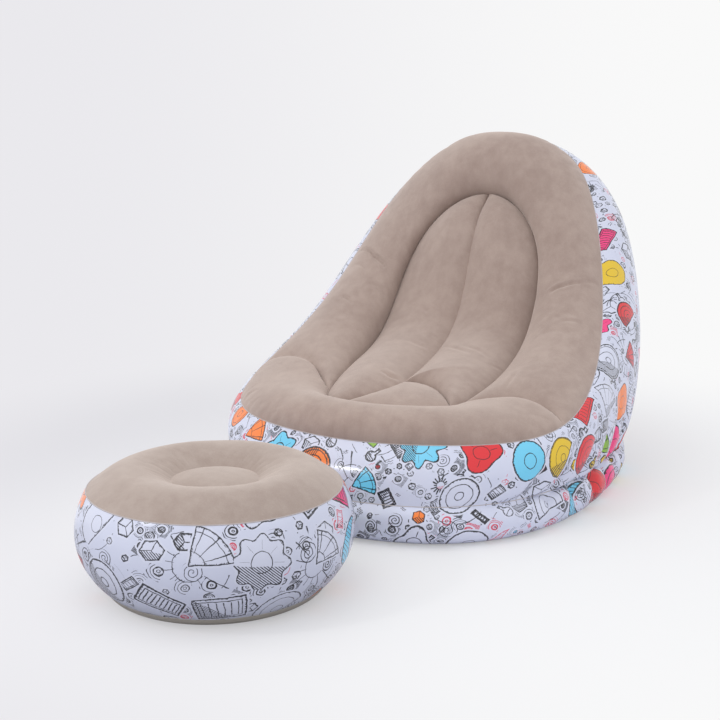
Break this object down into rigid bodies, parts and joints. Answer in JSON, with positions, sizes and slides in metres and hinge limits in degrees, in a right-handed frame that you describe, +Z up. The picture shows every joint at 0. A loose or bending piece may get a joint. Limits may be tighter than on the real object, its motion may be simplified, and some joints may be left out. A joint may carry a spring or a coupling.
{
  "type": "inflatable lounge chair with footstool",
  "caption": "Inflatable lounge chair with a flocked seat and rim on a printed vinyl body, and its matching round inflatable footstool.",
  "frame": {"origin": "middle of the chair's flat floor panel, on the floor", "axes": "+Z up, the chair faces -Y with its footstool in front of it, +X to the sitter's left"},
  "size_m": [0.942, 1.8495, 0.8565],
  "materials": {
    "flock": "short flock on vinyl sheet, matt with a soft sheen",
    "printed_vinyl": null,
    "base_vinyl": "plain semi-matt vinyl sheet",
    "web_vinyl": "plain inner vinyl sheet",
    "weld_vinyl": "welded seam bead",
    "valve_vinyl": "moulded soft vinyl",
    "flap_rubber": "thin moulded flap"
  },
  "bodies": {
    "chair": {"base_panel": "base_vinyl", "base_ring_skin": "printed_vinyl", "side_wall": "printed_vinyl", "rim_panel": "flock", "front_bolster": "flock", "dish_panel": "flock", "ring_divider": "web_vinyl", "outline_web": "web_vinyl", "centre_web": "web_vinyl", "right_fork_web": "web_vinyl", "left_fork_web": "web_vinyl", "base_seam_weld": "weld_vinyl", "waist_seam_weld": "weld_vinyl", "top_seam_weld": "weld_vinyl", "main_valve_socket": "valve_vinyl", "main_valve_strap": "valve_vinyl", "ring_valve_stem": "valve_vinyl", "ring_valve_strap": "valve_vinyl"},
    "main_cap": {"main_valve_cap": "valve_vinyl"},
    "main_insert": {"main_valve_insert": "valve_vinyl"},
    "main_flap": {"main_valve_flap": "flap_rubber"},
    "ring_cap": {"ring_valve_cap": "valve_vinyl"},
    "ring_flap": {"ring_valve_flap": "flap_rubber"},
    "footstool": {"footstool_base_panel": "base_vinyl", "footstool_wall": "printed_vinyl", "footstool_top": "flock", "footstool_web": "web_vinyl", "footstool_top_weld": "weld_vinyl", "footstool_base_weld": "weld_vinyl", "footstool_valve_stem": "valve_vinyl", "footstool_valve_strap": "valve_vinyl"},
    "footstool_cap": {"footstool_valve_cap": "valve_vinyl"},
    "footstool_flap": {"footstool_valve_flap": "flap_rubber"}
  },
  "joints": [
    {"name": "footstool_slide", "type": "slide", "parent": "chair", "child": "footstool", "axis": [0, 1, 0], "range_m": [-0.35, 0.04]},
    {"name": "main_cap_hinge", "type": "hinge", "parent": "chair", "child": "main_cap", "pos_m": [-0.03005, 0.67898, 0.37185], "axis": [0.9999, 0.01, 0], "range_deg": [0, 150]},
    {"name": "main_insert_turn", "type": "hinge", "parent": "chair", "child": "main_insert", "pos_m": [-0.02995, 0.66927, 0.35687], "axis": [-0.0099, 0.9908, -0.1349], "continuous": true},
    {"name": "main_flap_hinge", "type": "hinge", "parent": "main_insert", "child": "main_flap", "pos_m": [-0.02984, 0.65836, 0.36794], "axis": [0.9999, 0.01, 0], "range_deg": [-40, 0], "stiffness_Nm_per_rad": 0.002},
    {"name": "ring_cap_hinge", "type": "hinge", "parent": "chair", "child": "ring_cap", "pos_m": [-0.02812, 0.57874, 0.05813], "axis": [0.9997, 0.0239, 0], "range_deg": [0, 150]},
    {"name": "ring_flap_hinge", "type": "hinge", "parent": "chair", "child": "ring_flap", "pos_m": [-0.02769, 0.56041, 0.05376], "axis": [0.9997, 0.0239, 0], "range_deg": [-40, 0], "stiffness_Nm_per_rad": 0.002},
    {"name": "footstool_cap_hinge", "type": "hinge", "parent": "footstool", "child": "footstool_cap", "pos_m": [-0.35336, -0.87517, 0.13555], "axis": [0.0872, 0.9962, 0], "range_deg": [0, 150]},
    {"name": "footstool_flap_hinge", "type": "hinge", "parent": "footstool", "child": "footstool_flap", "pos_m": [-0.33461, -0.87681, 0.13443], "axis": [0.0872, 0.9962, 0], "range_deg": [-40, 0], "stiffness_Nm_per_rad": 0.002}
  ]
}
